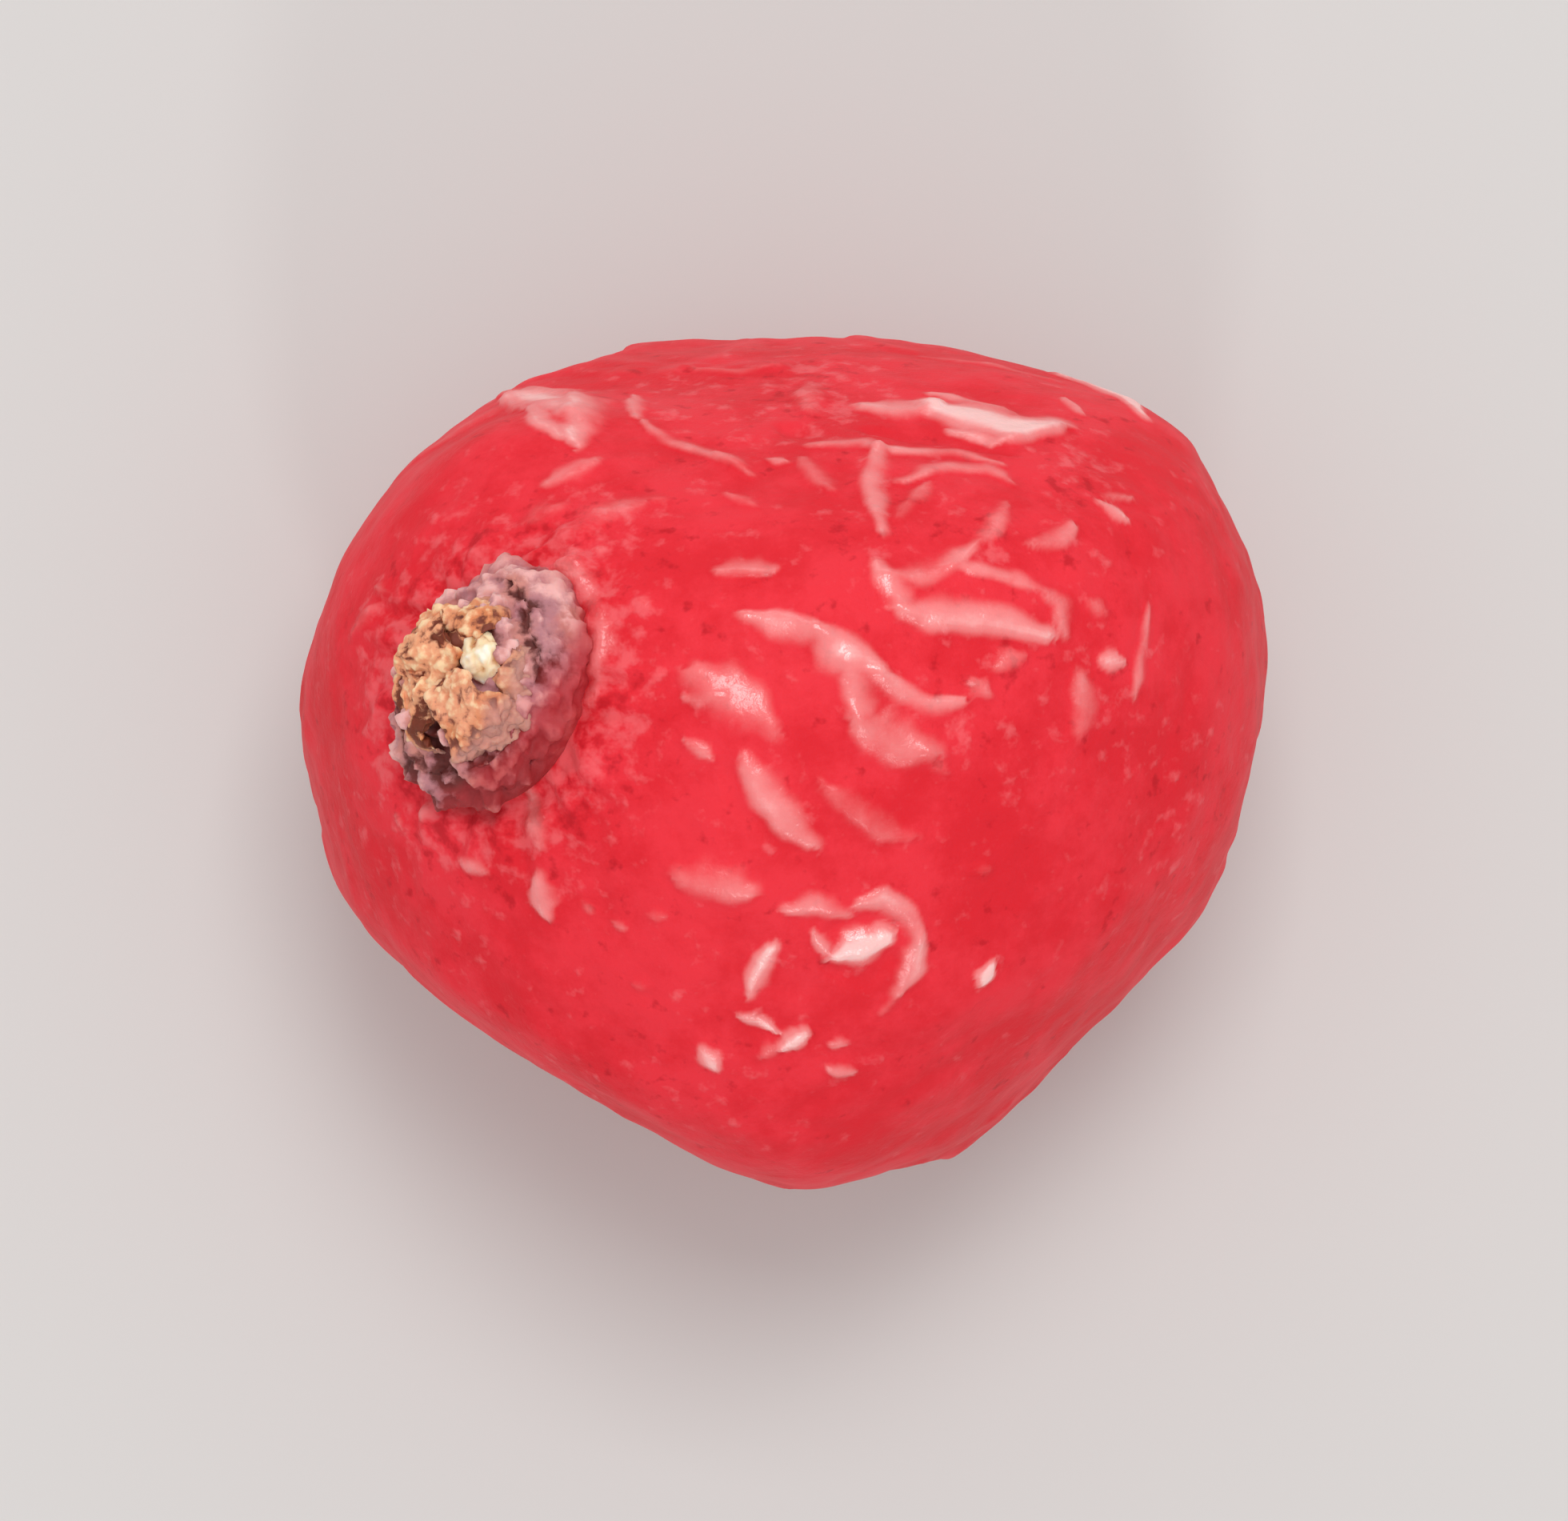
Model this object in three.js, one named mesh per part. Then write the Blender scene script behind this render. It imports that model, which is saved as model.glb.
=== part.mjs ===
// Freeze-dried redcurrant, lying on a small flat spot. Millimetres, +Z up.
// The berry dried as one piece of skin, pulp and seeds. The withered flower still sits on its end:
// a cup, the stubs of its five sepals folded in over it, and the style in the middle.
import * as THREE from 'three';
import { mergeVertices } from 'three/addons/utils/BufferGeometryUtils.js';

// Driving dimensions of the berry, from the middle of its pulp.
const PULP = { x: 4.44, y: 4.61, z: 4.2 }; // half-axes of the round pulp
const TAPER = 0.23; // how much wider the pulp is at its +Y end than in the middle
const TAPER_UP = 0.115; // how much taller it is there
const SKEW = 0.11; // how far that end is pushed towards +X
const FLATS = [
  // sides pressed flat against neighbours: degrees round, degrees up, distance from the middle
  { azimuth: 91, elevation: 20, reach: 3.74 },
  { azimuth: 245, elevation: -10, reach: 3.6 },
  { azimuth: 306, elevation: 8, reach: 4.31 },
  { azimuth: 143, elevation: -5, reach: 4.93 },
];
const FLAT_EDGE = 1.6; // width of the rounding round each flat
// a blunt corner pushed out between two neighbours
const CORNER = { azimuth: 127, elevation: 24, radius: 0.9, height: 0.26 };
const SWELL = 0.05; // height of the slow waves in the shrunken skin
const WAVES = [
  // waves round the berry: crests along each axis, phase, share of the height
  { x: 3, y: 5, z: 0, phase: 1, share: 0.4 },
  { x: -2, y: 1, z: 4, phase: 0, share: 0.3 },
  { x: 0, y: 6, z: -4, phase: 2, share: 0.3 },
];
const REST_HEIGHT = 3.95; // middle of the pulp above the flat spot
const SKIN_DETAIL = 13; // each edge of the starting icosahedron is cut into one more than this
const HALVINGS = 30; // of the search for the skin along a ray
const WELD = 1e-4; // corners closer than this are one corner

// The withered flower, on the end away from the stem.
const FLOWER_AZIMUTH = 164;
const FLOWER_ELEVATION = 50;
const SEAT_DEPTH = 0.17; // how deep the flower's flat seat is let into the berry
const GAP = 0.03; // between one piece and the next
const CUP = { footRadius: 1.12, rimRadius: 0.86, mouthRadius: 0.6, height: 0.42, floor: 0.2 };
const CUP_WALL = { lipHeight: 0.1, drawnIn: 0.04, waistHeight: 0.25, undercut: 0.08 };
const SEPAL_LENGTHS = [0.4, 0.52, 0.6, 0.62, 0.6]; // each sepal's length, one after another round the cup
const SEPAL = { width: 0.6, thickness: 0.18, lean: 50, overhang: 0.35, cupping: 0.3 };
const SEPAL_STEPS = { round: 12, along: 8 };
const STYLE = { footRadius: 0.14, tipRadius: 0.17, height: 0.5, offX: 0.32, offY: 0.16 };
const LATHE_STEPS = 24;

// The scar where the stem broke off, opposite the flower.
const SCAR = { radius: 0.5, height: 0.12 };

const skinFinish = new THREE.MeshStandardMaterial({ color: '#cf2229', roughness: 0.35, metalness: 0 });
const cupFinish = new THREE.MeshStandardMaterial({ color: '#7a5a58', roughness: 0.9, metalness: 0 });
const sepalFinish = new THREE.MeshStandardMaterial({ color: '#c08a5c', roughness: 0.9, metalness: 0 });
const styleFinish = new THREE.MeshStandardMaterial({ color: '#e6cf9a', roughness: 0.8, metalness: 0 });

/** Unit vector a number of degrees round from +X and up from level. */
function direction(azimuth, elevation) {
  const polar = THREE.MathUtils.degToRad(90 - elevation);
  const round = THREE.MathUtils.degToRad(azimuth);
  return new THREE.Vector3(
    Math.sin(polar) * Math.cos(round),
    Math.sin(polar) * Math.sin(round),
    Math.cos(polar),
  );
}

const FLOWER_AXIS = direction(FLOWER_AZIMUTH, FLOWER_ELEVATION);
const CORNER_AXIS = direction(CORNER.azimuth, CORNER.elevation);

/** Whether a point lies in the round, tapered pulp. */
function inPulp(point) {
  const y = point.y / PULP.y;
  const x = (point.x - SKEW * y) / (PULP.x * (1 + TAPER * y));
  const z = point.z / (PULP.z * (1 + TAPER_UP * y));
  return x * x + y * y + z * z < 1;
}

/** Distance from the middle to the edge of the round pulp, along a unit vector. */
function roundReach(ray) {
  let inside = 0;
  let outside = 2 * PULP.y;
  for (let halving = 0; halving < HALVINGS; halving += 1) {
    const halfway = (inside + outside) / 2;
    if (inPulp(ray.clone().multiplyScalar(halfway))) {
      inside = halfway;
    } else {
      outside = halfway;
    }
  }
  return inside;
}

/** The smaller of two lengths, with a rounded change from one to the other. */
function roundedMin(a, b, width) {
  const overlap = Math.max(width - Math.abs(a - b), 0) / width;
  return Math.min(a, b) - (overlap * overlap * width) / 4;
}

/** Distance from the middle to the pulp with its pressed sides, along a unit vector. */
function pulpReach(ray) {
  let reach = roundReach(ray);
  for (const flat of FLATS) {
    const facing = ray.dot(direction(flat.azimuth, flat.elevation));
    if (facing > 0) {
      reach = roundedMin(reach, flat.reach / facing, FLAT_EDGE);
    }
  }
  return reach;
}

/** Slow waves in the skin, from -1 to 1. */
function swell(ray) {
  let sum = 0;
  for (const wave of WAVES) {
    sum += wave.share * Math.sin(wave.x * ray.x + wave.y * ray.y + wave.z * ray.z + wave.phase);
  }
  return sum;
}

/** Height of a rounded bump on the skin, at a distance from the line through its top. */
function bump({ radius, height }, distance) {
  return height * Math.exp(-((distance / radius) ** 2));
}

const SEAT_REACH = pulpReach(FLOWER_AXIS) - SEAT_DEPTH;

/** Distance from the middle to the skin, with its waves, its corner, the stem scar and the seat. */
function skinReach(ray) {
  const smooth = pulpReach(ray);
  const alongFlower = ray.dot(FLOWER_AXIS);
  const alongCorner = ray.dot(CORNER_AXIS);
  let reach = smooth - SWELL * (1 + swell(ray)) / 2;
  if (alongCorner > 0) {
    reach += bump(CORNER, smooth * Math.sqrt(1 - alongCorner ** 2));
  }
  if (alongFlower < 0) {
    reach += bump(SCAR, smooth * Math.sqrt(1 - alongFlower ** 2));
  }
  if (alongFlower > 0) {
    reach = Math.min(reach, SEAT_REACH / alongFlower);
  }
  return reach;
}

/** The whole berry as one solid, flat where it rests. */
function berryGeometry() {
  const geometry = new THREE.IcosahedronGeometry(1, SKIN_DETAIL);
  const position = geometry.attributes.position;
  const ray = new THREE.Vector3();
  for (let i = 0; i < position.count; i += 1) {
    ray.fromBufferAttribute(position, i).normalize();
    ray.multiplyScalar(skinReach(ray));
    position.setXYZ(i, ray.x, ray.y, Math.max(ray.z, -REST_HEIGHT));
  }
  geometry.deleteAttribute('normal');
  geometry.deleteAttribute('uv');
  const closed = mergeVertices(geometry, WELD);
  closed.computeVertexNormals();
  return closed;
}

/** A turned shape about +Z, from its outline as [radius, height] pairs. */
function turned(outline) {
  const points = outline.map(([radius, height]) => new THREE.Vector2(radius, height));
  return new THREE.LatheGeometry(points, LATHE_STEPS).rotateX(Math.PI / 2);
}

/** The withered flower's cup: flared foot, drawn-in rim, shallow hollow. */
function cupGeometry() {
  const waist = (CUP.footRadius + CUP.rimRadius) / 2 - CUP_WALL.drawnIn;
  return turned([
    [0, 0],
    [CUP.footRadius, 0],
    [CUP.footRadius - CUP_WALL.drawnIn, CUP_WALL.lipHeight],
    [waist, CUP_WALL.waistHeight],
    [CUP.rimRadius, CUP.height],
    [CUP.mouthRadius, CUP.height],
    [CUP.mouthRadius - CUP_WALL.undercut, CUP.floor],
    [0, CUP.floor],
  ]);
}

/** The stub of the style, with a thicker, rounded tip. */
function styleGeometry() {
  const shoulder = STYLE.height - STYLE.tipRadius;
  return turned([
    [0, 0],
    [STYLE.footRadius, 0],
    [STYLE.tipRadius, shoulder],
    [Math.SQRT1_2 * STYLE.tipRadius, shoulder + Math.SQRT1_2 * STYLE.tipRadius],
    [0, STYLE.height],
  ]);
}

/** A shrivelled sepal stub: a flattened pod, cupped towards the flower's middle. */
function sepalGeometry(length) {
  const geometry = new THREE.SphereGeometry(0.5, SEPAL_STEPS.round, SEPAL_STEPS.along);
  geometry.scale(SEPAL.thickness, SEPAL.width, length);
  const position = geometry.attributes.position;
  for (let i = 0; i < position.count; i += 1) {
    const across = position.getY(i) / SEPAL.width;
    position.setX(i, position.getX(i) - SEPAL.cupping * across ** 2);
  }
  return geometry;
}

/** Adds a named piece to a group. */
function addPiece(group, name, geometry, material) {
  const piece = new THREE.Mesh(geometry, material);
  piece.name = name;
  group.add(piece);
  return piece;
}

const redcurrant = new THREE.Group();
addPiece(redcurrant, 'berry', berryGeometry(), skinFinish);

const flower = new THREE.Group();
flower.position.copy(FLOWER_AXIS).multiplyScalar(SEAT_REACH + GAP);
flower.quaternion.setFromUnitVectors(new THREE.Vector3(0, 0, 1), FLOWER_AXIS);
redcurrant.add(flower);

addPiece(flower, 'flower_cup', cupGeometry(), cupFinish);
const style = addPiece(flower, 'style_stub', styleGeometry(), styleFinish);
style.position.set(STYLE.offX, STYLE.offY, CUP.floor + GAP);

// Each sepal stub stands with its foot on the rim and its tip over the hollow.
const lean = THREE.MathUtils.degToRad(SEPAL.lean);
const rimMiddle = (CUP.rimRadius + CUP.mouthRadius) / 2;
SEPAL_LENGTHS.forEach((length, i) => {
  const radius = rimMiddle - SEPAL.overhang * length * Math.sin(lean);
  const lift = (length * Math.cos(lean) + SEPAL.thickness * Math.sin(lean)) / 2;
  const spoke = new THREE.Group();
  spoke.rotation.z = (i / SEPAL_LENGTHS.length) * 2 * Math.PI;
  flower.add(spoke);
  const sepal = addPiece(spoke, `sepal_${i + 1}`, sepalGeometry(length), sepalFinish);
  sepal.position.set(radius, 0, CUP.height + lift);
  sepal.rotation.y = -lean;
});

// The part's origin is under the middle of its box, on the surface it rests on.
const box = new THREE.Box3().setFromObject(redcurrant, true);
const middle = box.getCenter(new THREE.Vector3());
redcurrant.position.set(-middle.x, -middle.y, -box.min.z);

export default redcurrant;
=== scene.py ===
"""A freeze-dried redcurrant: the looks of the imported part, built round its fixed frame.

The berry is sculpted from a cube rounded into a ball, in millimetres from the middle of its pulp, and
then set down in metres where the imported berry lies. The withered flower on its end is made piece by
piece in the flower's own frame: a cup, five shrivelled sepals and the nub of the style.
"""

import logging
import math
from dataclasses import dataclass, field
from enum import Enum

import bmesh
import bpy
import numpy as np
from mathutils import Matrix, Vector, noise
from mathutils.bvhtree import BVHTree


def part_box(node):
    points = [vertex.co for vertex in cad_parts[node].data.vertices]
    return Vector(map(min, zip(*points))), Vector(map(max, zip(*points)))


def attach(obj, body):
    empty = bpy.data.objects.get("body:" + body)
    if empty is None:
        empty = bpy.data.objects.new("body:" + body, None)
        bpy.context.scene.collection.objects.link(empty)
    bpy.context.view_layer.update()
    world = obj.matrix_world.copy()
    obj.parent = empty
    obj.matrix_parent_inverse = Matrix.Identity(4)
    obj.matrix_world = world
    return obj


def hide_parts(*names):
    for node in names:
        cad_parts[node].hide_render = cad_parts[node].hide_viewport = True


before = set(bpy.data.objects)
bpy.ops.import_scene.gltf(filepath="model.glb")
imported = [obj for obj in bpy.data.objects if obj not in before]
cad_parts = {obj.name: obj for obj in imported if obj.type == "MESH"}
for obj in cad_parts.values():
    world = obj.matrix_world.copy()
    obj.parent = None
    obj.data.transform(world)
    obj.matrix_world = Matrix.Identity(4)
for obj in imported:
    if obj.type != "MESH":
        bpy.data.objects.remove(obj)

LOG = logging.getLogger("redcurrant")
MM = 0.001  # metres in a millimetre
FAR = 1e3  # millimetres, further than anything on the berry
SEED = 7  # of every random draw
BODY = "root"  # the one body of a part with no joints
FLOWER_SIDE = (164, 50)  # degrees round from +X and up from level that the flower points
FLOWER_SINK = 0.14  # millimetres that the flower's foot sits below the smooth skin


def linear(colour: str) -> tuple[float, float, float, float]:
    """Turns an sRGB hex colour into linear light.

    Args:
        colour: six hex digits after a hash.

    Returns:
        Red, green, blue and an alpha of 1.
    """
    parts = [int(colour[i:i + 2], 16) / 255 for i in (1, 3, 5)]
    light = [p / 12.92 if p <= 0.04045 else ((p + 0.055) / 1.055) ** 2.4 for p in parts]
    return (*light, 1.0)


def direction(azimuth: float, elevation: float) -> np.ndarray:
    """Unit vector a number of degrees round from +X and up from level."""
    a, e = math.radians(azimuth), math.radians(elevation)
    return np.array([math.cos(e) * math.cos(a), math.cos(e) * math.sin(a), math.sin(e)])


def from_axis(points: np.ndarray, axis: np.ndarray) -> np.ndarray:
    """Distance of each point from a line that runs one way out of the pulp's middle.

    Args:
        points: places from the middle of the pulp, one a row.
        axis: unit vector along the line.

    Returns:
        Millimetres for each point, or FAR on the other side of the middle.
    """
    along = points @ axis
    gap = np.linalg.norm(points - along[:, None] * axis, axis=1)
    return np.where(along > 0, gap, FAR)


def smooth(low: float, high: float, value: np.ndarray) -> np.ndarray:
    """Rises gently from 0 at low to 1 at high."""
    t = np.clip((value - low) / (high - low), 0.0, 1.0)
    return t * t * (3 - 2 * t)


def grain(points: np.ndarray, size: float, shift: float = 0.0) -> np.ndarray:
    """Smooth noise over a set of points.

    Args:
        points: places in millimetres, one a row.
        size: width of the noise's lumps in millimetres.
        shift: moves to another part of the noise.

    Returns:
        A value from about -1 to 1 for each point.
    """
    scaled = points / size + shift
    return np.fromiter((noise.noise(p) for p in scaled.tolist()), float, len(points))


def crumbs(points: np.ndarray, size: float, shift: float) -> np.ndarray:
    """Rounded grains packed side by side: 1 in the middle of a grain, falling to 0 between grains.

    Args:
        points: places in millimetres, one a row.
        size: width of the grains in millimetres.
        shift: moves to another part of the pattern.

    Returns:
        A value from 0 to 1 for each point.
    """
    scaled = points / size + shift
    gaps = np.fromiter((noise.voronoi(p)[0][0] for p in scaled.tolist()), float, len(points))
    return np.clip(1 - 1.3 * gaps, 0, 1)


def warped(points: np.ndarray, size: float, amount: float, shift: float = 0.0) -> np.ndarray:
    """Moves points about by smooth noise, which bends any pattern read at them."""
    moves = [grain(points, size, shift + 17.0 * axis) for axis in range(3)]
    return points + amount * np.stack(moves, axis=1)


def settle(bm: bmesh.types.BMesh) -> None:
    """Numbers vertices and faces by where they are, as merging and solidifying don't keep their order.

    Args:
        bm: the bmesh, with no two vertices or faces in one place.
    """
    places = (
        (bm.verts, [tuple(vertex.co) for vertex in bm.verts]),
        (bm.faces, [tuple(face.calc_center_median()) for face in bm.faces]),
    )
    for parts, spots in places:
        parts.index_update()
        order = sorted(range(len(spots)), key=spots.__getitem__)
        rank = {index: number for number, index in enumerate(order)}
        parts.sort(key=lambda part: rank[part.index])
        parts.index_update()


def mesh_object(name: str, bm: bmesh.types.BMesh) -> bpy.types.Object:
    """Turns a finished bmesh into an object in the scene, and frees the bmesh.

    Args:
        name: the object's name and its mesh's.
        bm: the bmesh.

    Returns:
        The object.
    """
    mesh = bpy.data.meshes.new(name)
    bm.to_mesh(mesh)
    bm.free()
    thing = bpy.data.objects.new(name, mesh)
    bpy.context.scene.collection.objects.link(thing)
    return thing


def read_points(thing: bpy.types.Object) -> np.ndarray:
    """Reads the places of an object's vertices.

    Args:
        thing: the object.

    Returns:
        An x, y and z for each vertex, one vertex a row.
    """
    flat = np.zeros(len(thing.data.vertices) * 3)
    thing.data.vertices.foreach_get("co", flat)
    return flat.reshape(-1, 3)


def write_points(thing: bpy.types.Object, points: np.ndarray) -> None:
    """Moves an object's vertices to the given places."""
    thing.data.vertices.foreach_set("co", points.ravel())
    thing.data.update()


def paint(thing: bpy.types.Object, name: str, values: np.ndarray) -> None:
    """Keeps one number for each vertex, for a material to read by name."""
    layer = thing.data.attributes.new(name, "FLOAT", "POINT")
    layer.data.foreach_set("value", values.astype(np.float32))


def add_node(tree: bpy.types.NodeTree, kind: str, inputs: dict[str | int, object] | None = None,
             **settings: object) -> bpy.types.Node:
    """Adds a shader node.

    Args:
        tree: the material's node tree.
        kind: the node's type name.
        inputs: for a socket's name or number, the value to set or the output to link.
        settings: the node's own properties.

    Returns:
        The node.
    """
    node = tree.nodes.new(kind)
    for name, value in settings.items():
        setattr(node, name, value)
    for socket, value in (inputs or {}).items():
        if isinstance(value, bpy.types.NodeSocket):
            tree.links.new(value, node.inputs[socket])
        else:
            node.inputs[socket].default_value = value
    return node


def set_down(piece: bpy.types.Object, node: str, material: bpy.types.Material) -> None:
    """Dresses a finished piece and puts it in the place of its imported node.

    Args:
        piece: the finished object.
        node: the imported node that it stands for.
        material: its finish.
    """
    piece.data.materials.append(material)
    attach(piece, BODY)
    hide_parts(node)
    LOG.info("made %s with %d faces", piece.name, len(piece.data.polygons))


class Relief(Enum):
    """Whether a wrinkle stands up from the skin or sinks into it."""

    FOLD = 1
    CREASE = -1


@dataclass(frozen=True)
class Wrinkle:
    """One wrinkle seen from above, in millimetres.

    Attributes:
        width: half-width of its crest in the middle of its length.
        sheen: how much painted highlight and gloss its crest gets, from 0 to 1.
        path: the (x, y) places that it runs through.
        relief: whether it stands up or sinks in.
    """

    width: float
    sheen: float
    path: tuple[tuple[float, float], ...]
    relief: Relief = Relief.FOLD

    def height(self) -> float:
        """Height of the crest over the skin round it."""
        return 0.02 + 0.3 * self.width


@dataclass
class BerryForm:
    """The berry's smooth shape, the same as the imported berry's, in millimetres from its pulp's middle.

    Attributes:
        half_axes: half its width, depth and height before it is tapered and pressed.
        taper: share by which it widens towards its back and narrows towards its front.
        skew: how far its back leans to the right.
        flats: azimuth and elevation in degrees, and distance, of each side that is pressed flat.
        flat_edge: how widely a pressed side's edge is rounded.
        corner: azimuth and elevation in degrees of the blunt corner between two pressed sides.
        corner_radius: half-width of that corner.
        corner_height: how far that corner stands out.
        rest_height: height of the pulp's middle over the table.
        halvings: steps in the search for the edge along a ray.
    """

    half_axes: tuple[float, float, float] = (4.44, 4.61, 4.2)
    taper: float = 0.23
    skew: float = 0.11
    flats: tuple[tuple[float, float, float], ...] = (
        (91, 20, 3.74),
        (245, -10, 3.6),
        (306, 8, 4.31),
        (143, -5, 4.93),
    )
    flat_edge: float = 1.6
    corner: tuple[float, float] = (127, 24)
    corner_radius: float = 0.9
    corner_height: float = 0.26
    rest_height: float = 3.95
    halvings: int = 30

    def round_reach(self, rays: np.ndarray) -> np.ndarray:
        """Distance from the middle to the edge of the round, tapered pulp, along each ray.

        Args:
            rays: unit vectors from the middle of the pulp, one a row.

        Returns:
            Millimetres for each ray.
        """
        inside = np.zeros(len(rays))
        outside = np.full(len(rays), 2 * self.half_axes[1])
        for _ in range(self.halvings):
            halfway = (inside + outside) / 2
            point = rays * halfway[:, None]
            y = point[:, 1] / self.half_axes[1]
            x = (point[:, 0] - self.skew * y) / (self.half_axes[0] * (1 + self.taper * y))
            z = point[:, 2] / (self.half_axes[2] * (1 + 0.5 * self.taper * y))
            within = x * x + y * y + z * z < 1
            inside = np.where(within, halfway, inside)
            outside = np.where(within, outside, halfway)
        return inside

    def reach(self, rays: np.ndarray) -> np.ndarray:
        """Distance from the middle to the skin with its pressed sides, along each ray.

        Args:
            rays: unit vectors from the middle of the pulp, one a row.

        Returns:
            Millimetres for each ray.
        """
        reach = self.round_reach(rays)
        for azimuth, elevation, distance in self.flats:
            facing = np.maximum(rays @ direction(azimuth, elevation), 0.05)
            flat = distance / facing
            overlap = np.maximum(self.flat_edge - np.abs(reach - flat), 0) / self.flat_edge
            reach = np.minimum(reach, flat) - overlap**2 * self.flat_edge / 4
        near_corner = from_axis(rays * reach[:, None], direction(*self.corner)) / self.corner_radius
        return reach + self.corner_height * np.exp(-(near_corner**2))


@dataclass
class BerrySkin:
    """The berry's wrinkled skin, its stem scar and the flat spot it rests on, in millimetres.

    Attributes:
        form: the smooth shape under the wrinkles.
        flower_axis: unit vector from the pulp's middle to the flower.
        seen_wrinkles: the wrinkles on top, each laid where it is.
        cuts: cuts across each side of the cube that becomes the ball.
        gather: how many times finer the ball's faces are made on top, and coarser below.
        drop: height that a seen wrinkle is dropped on the skin from.
        pull_in: share of its way from the middle that a point off the edge keeps at each try.
        lean: how many times wider a wrinkle's left slope is than its right.
        stray_wrinkles: number of short wrinkles strewn over the rest of the skin.
        stray_boost: how many times higher those stand than the ones on top.
        dent_height: height of the shallow dents.
        low_dent_height: what is added to it on the berry's lower side.
        swell_height: height of the smaller swells.
        crinkle_height: height of the fine crinkles.
        full_lift: height at which a dent or swell takes its full painted shade or painted light.
        worm_height: height of the long winding folds.
        worm_sheen: how much painted highlight and gloss their crests get, from 0 to 1.
        pucker_height: height of the puckers round the flower.
        dip_depth: depth of the dip that the flower sits in.
        crevice_radius: radius of the crevice along the flower's front side.
        crevice_width: half-width of that crevice.
        crevice_depth: depth of that crevice.
        crumb_height: height of the crumbs round the flower.
        scar_radius: radius of the stem scar.
        scar_height: height of the stem scar's rim.
        crumb_patches: (x, y, radius) of the loose patches of pale crumbs on top.
        offset: place of the pulp's middle in the frame, set when the skin is built.
    """

    form: BerryForm
    flower_axis: np.ndarray
    seen_wrinkles: tuple[Wrinkle, ...]
    cuts: int = 127
    gather: float = 1.3
    drop: float = 20.0
    pull_in: float = 0.98
    lean: float = 2.0
    stray_wrinkles: int = 150
    stray_boost: float = 1.5
    dent_height: float = 0.07
    low_dent_height: float = 0.05
    swell_height: float = 0.04
    crinkle_height: float = 0.02
    full_lift: float = 0.08
    worm_height: float = 0.1
    worm_sheen: float = 0.28
    pucker_height: float = 0.035
    dip_depth: float = 0.04
    crevice_radius: float = 1.12
    crevice_width: float = 0.14
    crevice_depth: float = 0.12
    crumb_height: float = 0.05
    scar_radius: float = 0.5
    scar_height: float = 0.1
    crumb_patches: tuple[tuple[float, float, float], ...] = (
        (0.3, 3.55, 0.65),
        (2.75, 2.72, 0.5),
        (1.95, 2.15, 0.35),
    )
    offset: np.ndarray = field(default_factory=lambda: np.zeros(3))

    def ball(self) -> bpy.types.Object:
        """Makes a ball of four-sided faces from a finely cut cube, with the finest faces on top.

        Returns:
            The object, with a radius of 1.
        """
        bm = bmesh.new()
        bmesh.ops.create_cube(bm, size=2)
        bmesh.ops.subdivide_edges(bm, edges=bm.edges[:], cuts=self.cuts, use_grid_fill=True)
        for vertex in bm.verts:
            ray = Vector(math.tan(c * math.pi / 4) for c in vertex.co).normalized()
            above, below = self.gather**2 * (1 + ray.z), 1 - ray.z
            across = 2 * self.gather / (above + below)
            vertex.co = Vector((ray.x * across, ray.y * across, (above - below) / (above + below)))
        bmesh.ops.recalc_face_normals(bm, faces=bm.faces[:])
        for face in bm.faces:
            face.smooth = True
        return mesh_object("berry_skin", bm)

    def slow_relief(self, points: np.ndarray) -> np.ndarray:
        """Height of the shallow dents and fine crinkles that cover the whole skin.

        Args:
            points: places on the smooth skin.

        Returns:
            Millimetres outwards at each point.
        """
        dents = grain(warped(points, 2.4, 0.6), 1.9, 21.0)
        swells = grain(warped(points, 1.2, 0.3, 50.0), 0.8, 33.0)
        crinkles = grain(warped(points, 0.6, 0.15, 70.0), 0.34, 11.0)
        dent_height = self.dent_height + self.low_dent_height * smooth(1.5, -0.5, points[:, 2])
        return dent_height * dents + self.swell_height * swells + self.crinkle_height * crinkles

    def worms(self, points: np.ndarray) -> np.ndarray:
        """The long winding folds of shrunken skin, which lie in patches and fade out up the sides.

        Args:
            points: places on the smooth skin.

        Returns:
            0 between the folds to 1 on their crests, for each point.
        """
        bent = warped(warped(points, 1.8, 0.7), 0.7, 0.16, 25.0)
        crests = smooth(0.4, 1.0, 1 - np.abs(grain(bent, 1.1, 3.0)) * 1.9)
        patchy = smooth(-0.2, 0.35, grain(points, 2.4, 9.0))
        return crests * patchy * (1 - 0.93 * smooth(-1.7, 0.1, points[:, 2]))

    def laid_path(self, surface: BVHTree, wrinkle: Wrinkle) -> np.ndarray:
        """Lays a wrinkle drawn from above on the skin, pulled in where it runs off the berry's edge.

        Args:
            surface: the smooth skin, in the frame's millimetres.
            wrinkle: the wrinkle.

        Returns:
            The wrinkle's points on the skin, from the middle of the pulp.
        """
        laid = []
        for x, y in wrinkle.path:
            hit = None
            while hit is None:
                hit = surface.ray_cast(Vector((x, y, self.drop)), Vector((0, 0, -1)))[0]
                x, y = self.pull_in * x, self.pull_in * y
            laid.append(hit)
        return np.array(laid) - self.offset

    def stray_path(self, draw: np.random.Generator) -> np.ndarray:
        """Draws the path of one short, curved wrinkle anywhere on the skin.

        Args:
            draw: the random draws.

        Returns:
            The wrinkle's points on the skin, from the middle of the pulp.
        """
        ray = draw.normal(size=3)
        ray /= np.linalg.norm(ray)
        heading = np.cross(ray, draw.normal(size=3))
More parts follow.
